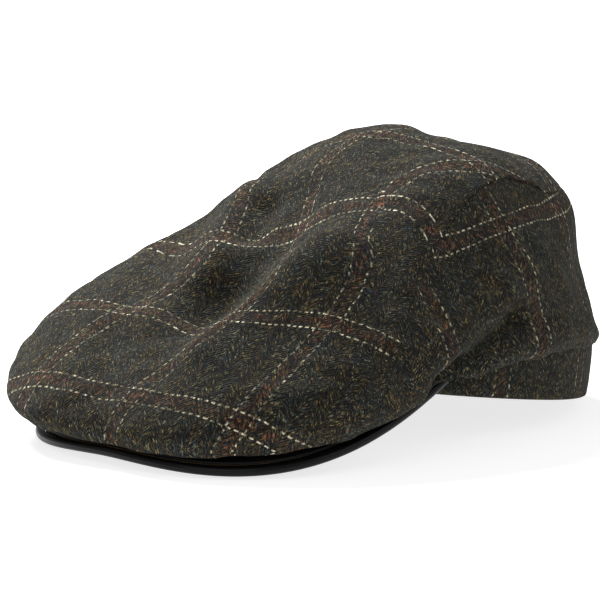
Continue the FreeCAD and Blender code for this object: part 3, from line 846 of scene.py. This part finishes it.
def stitches(name, path, out, length, gap, thick):
    """A row of short raised threads along a path of points with outward normals."""
    step = np.linalg.norm(np.diff(path, axis=0), axis=1)
    run = np.concatenate([[0.0], np.cumsum(step)])
    starts = np.arange(0.0, run[-1] - length, length + gap)
    vertices, faces = [], []
    around = np.linspace(0, 2 * math.pi, 7)[:-1]
    for start in starts:
        stations = start + length * np.array([0.0, 0.15, 0.5, 0.85, 1.0])
        middle = np.stack([np.interp(stations, run, path[:, k]) for k in range(3)], axis=1)
        up = np.array([np.interp(start, run, out[:, k]) for k in range(3)])
        way = middle[-1] - middle[0]
        aside = np.cross(way, up)
        aside /= np.linalg.norm(aside)
        base = len(vertices)
        for place, size in zip(middle, (0.35, 0.85, 1.0, 0.85, 0.35)):
            for turn in around:
                vertices.append(place + thick * size * (np.cos(turn) * aside + 0.7 * np.sin(turn) * up))
        for i in range(4):
            for j in range(6):
                a, b = base + i * 6 + j, base + i * 6 + (j + 1) % 6
                faces.append((a, b, b + 6, a + 6))
        faces.append(tuple(range(base + 5, base - 1, -1)))
        faces.append(tuple(range(base + 24, base + 30)))
    uvs = np.zeros((len(vertices), 2))
    return new_object(name, row(np.array(vertices)), faces, materials["thread"], uvs)


def peak_rim(grow, lift):
    """Points round the peak's rim, from the wearer's right horn over the front to the left one."""
    turn = np.linspace(-math.pi / 2, math.pi / 2, 181)
    power = 2.0 / PEAK_POWER
    x = (PEAK_HALF_WIDTH + grow) * np.sign(np.sin(turn)) * np.abs(np.sin(turn)) ** power
    y = -PEAK_HORN - (PEAK_FRONT - PEAK_HORN + grow) * np.abs(np.cos(turn)) ** power
    return np.stack([x, y, peak_height(x, y) + lift], axis=-1)


TAB_LOW, TAB_HIGH, TAB_HALF_TURN, TAB_WALL = 8.0, 20.0, 0.145, 0.4


def size_tab():
    """The tab on the sweatband at the back, a little proud of it at its loose lower edge."""
    turn, height = np.meshgrid(np.linspace(-TAB_HALF_TURN, TAB_HALF_TURN, 21) + math.pi / 2,
                               np.linspace(TAB_LOW, TAB_HIGH, 9), indexing="ij")
    skin = band_point(turn, height, 5.0 + 0.25 * (TAB_HIGH - height) / (TAB_HIGH - TAB_LOW))
    cut = spread_of(skin)
    made = sheet_mesh("size_tab_cloth", skin, skin - normals_of(skin) * TAB_WALL, materials["label"], cut)
    return made, skin, cut


def sweatband_stitches():
    """The row just above the sweatband's lower edge."""
    turn = np.linspace(0, 2 * math.pi, 721)
    height = 3.2 + 0.0 * turn
    inward = band_point(turn, height, 5.0) - band_point(turn, height, 4.0)
    return stitches("sweatband_stitches", band_point(turn, height, 4.32), inward, 2.6, 1.2, 0.22)


def peak_stitches():
    """The row under the peak, 4 mm in from its edge."""
    rim = peak_rim(-4.0, -0.1)
    down = np.array([[0.0, 0.43, -0.9]] * len(rim))
    return stitches("peak_stitches", rim, down, 2.4, 1.0, 0.24)


def label_stitches():
    """The row round the label's edge."""
    turn, part = np.meshgrid(np.linspace(-180.0, 180.0, 181), (0.818, 0.828), indexing="ij")
    border = lining_grid(turn, part, LABEL_INSET)[:, 0]
    inward = HEAD_MIDDLE - border
    inward /= np.linalg.norm(inward, axis=1, keepdims=True)
    return stitches("label_stitches", border + 0.55 * inward, inward, 1.8, 0.9, 0.18)


top_cloth, top_skin, top_cut = crown_top()
left_cloth, left_skin, left_cut = crown_side(1.0, "crown_left_cloth", "tweed_left")
right_cloth, right_skin, right_cut = crown_side(-1.0, "crown_right_cloth", "tweed_right")
band_cloth = band_wool()
sweat_cloth = band_ring("sweatband_cloth", 3.0, 1.2, 0.6, 31.0, "sweat_cloth", 13, 0.15)
lining_top, lining_top_skin, lining_top_cut = disc_sheet(
    "lining_top_cloth", 1.0 - LINING_SEAM - SEAM_GAP, LINING_INSET, LINING_WALL, "lining", 46.0)
lining_left, lining_left_skin, lining_left_cut = lining_side(1.0, "lining_left_cloth")
lining_right, lining_right_skin, lining_right_cut = lining_side(-1.0, "lining_right_cloth")
label_cloth, label_skin, label_cut = disc_sheet("label_cloth", 0.2, LABEL_INSET, 0.45, "label", 19.0)
tab_cloth, tab_skin, tab_cut = size_tab()
threads = [sweatband_stitches(), peak_stitches(), label_stitches()]
thread_slots = ("sweat_cloth", "black_leather", "label")

for piece, node, slot in (
        (top_cloth, "crown_top_panel", "tweed"), (left_cloth, "crown_side_left", "tweed"),
        (right_cloth, "crown_side_right", "tweed"), (band_cloth, "crown_band", "tweed"),
        (sweat_cloth, "sweatband", "sweat_cloth"), (lining_top, "lining_top", "lining"),
        (lining_left, "lining_side_left", "lining"), (lining_right, "lining_side_right", "lining"),
        (label_cloth, "lining_label", "label"), (tab_cloth, "size_tab", "label")):
    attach(piece, "root")
    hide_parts(node)
for piece, slot in zip(threads, thread_slots):
    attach(piece, "root")

for node, finish in (
        ("band_interlining", "canvas"), ("peak_under_cover", "matte_leather"), ("peak_board", "board"),
        ("peak_facing", "matte_leather"), ("peak_edge_roll", "glossy_leather"), ("peak_edge_cord", "cord")):
    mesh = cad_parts[node].data
    mesh.materials.clear()
    mesh.materials.append(materials[finish])

# ================================================================ floor, lights, camera
FLOOR_HALF = 6.0
FLOOR_DROP = 0.0005


def pale_floor():
    """A white sweep that is lit from below as well, so the object's shadow on it is faint."""
    material = Nodes("floor").surface((0.5, 0.5, 0.5), 0.9, specular=0.0)
    shader = material.node_tree.nodes["Principled BSDF"]
    shader.inputs["Emission Color"].default_value = (1, 1, 1, 1)
    shader.inputs["Emission Strength"].default_value = 0.77
    return material


corners = [(x * FLOOR_HALF, y * FLOOR_HALF, -FLOOR_DROP) for x, y in ((-1, -1), (1, -1), (1, 1), (-1, 1))]
floor = new_object("floor", corners, [(0, 1, 2, 3)], pale_floor(), smooth=False)


LIGHT_AIM = np.array([0.0, 0.0, 0.06])


def light(name, place, size, power):
    """A soft square lamp turned to the cap; metres and watts."""
    lamp = bpy.data.lights.new(name, "AREA")
    lamp.energy = power
    lamp.size = size
    made = bpy.data.objects.new(name, lamp)
    bpy.context.scene.collection.objects.link(made)
    made.location = place
    way = LIGHT_AIM - np.array(place, float)
    made.rotation_euler = Vector(way).to_track_quat("-Z", "Y").to_euler()


light("key", (-1.2, 0.35, 1.5), 0.9, 85.0)
light("front", (0.7, -1.5, 1.2), 1.4, 6.5)
light("side", (1.6, 0.3, 1.0), 1.2, 4.0)
world = bpy.data.worlds.new("studio")
world.use_nodes = True
world.node_tree.nodes["Background"].inputs[0].default_value = (1, 1, 1, 1)
world.node_tree.nodes["Background"].inputs[1].default_value = 0.3
bpy.context.scene.world = world
bpy.context.scene.view_settings.view_transform = "Standard"

# The camera stands 1.5 m off, to the wearer's left of the front and a little above.
# Its aim and axes lean a little about the back of the band, where the cap rests.
CAMERA_TURN, CAMERA_RISE, CAMERA_LEAN, CAMERA_REACH = 42.0, 10.2, 0.94, 1500.0
CAMERA_AIM = np.array([0.0, -30.0, 50.0])
CAMERA_SHIFT = (-11.7, 3.6)
BAND_HEEL = np.array([0.0, 101.5, 0.0])
LENS = 209.7


def camera_axes():
    """Where the camera aims, and its right, up and back directions."""
    turn, rise, lean = (math.radians(a) for a in (CAMERA_TURN, CAMERA_RISE, CAMERA_LEAN))
    back = np.array([math.sin(turn) * math.cos(rise), -math.cos(turn) * math.cos(rise), math.sin(rise)])
    right = np.array([math.cos(turn), math.sin(turn), 0.0])
    up = np.cross(back, right)
    tip = np.array([[1, 0, 0], [0, math.cos(lean), -math.sin(lean)], [0, math.sin(lean), math.cos(lean)]])
    aim = tip @ (CAMERA_AIM - BAND_HEEL) + BAND_HEEL
    return aim, tip @ right, tip @ up, tip @ back


aim, right, up, back = camera_axes()
lens = bpy.data.cameras.new("camera")
lens.lens = LENS
lens.sensor_width = 36.0
lens.clip_start = 0.05
camera = bpy.data.objects.new("camera", lens)
bpy.context.scene.collection.objects.link(camera)
aim = aim + CAMERA_SHIFT[0] * right + CAMERA_SHIFT[1] * up
spot = row(aim + back * CAMERA_REACH)
camera.matrix_world = Matrix([[right[0], up[0], back[0], spot[0]], [right[1], up[1], back[1], spot[1]],
                              [right[2], up[2], back[2], spot[2]], [0, 0, 0, 1]])
bpy.context.scene.camera = camera
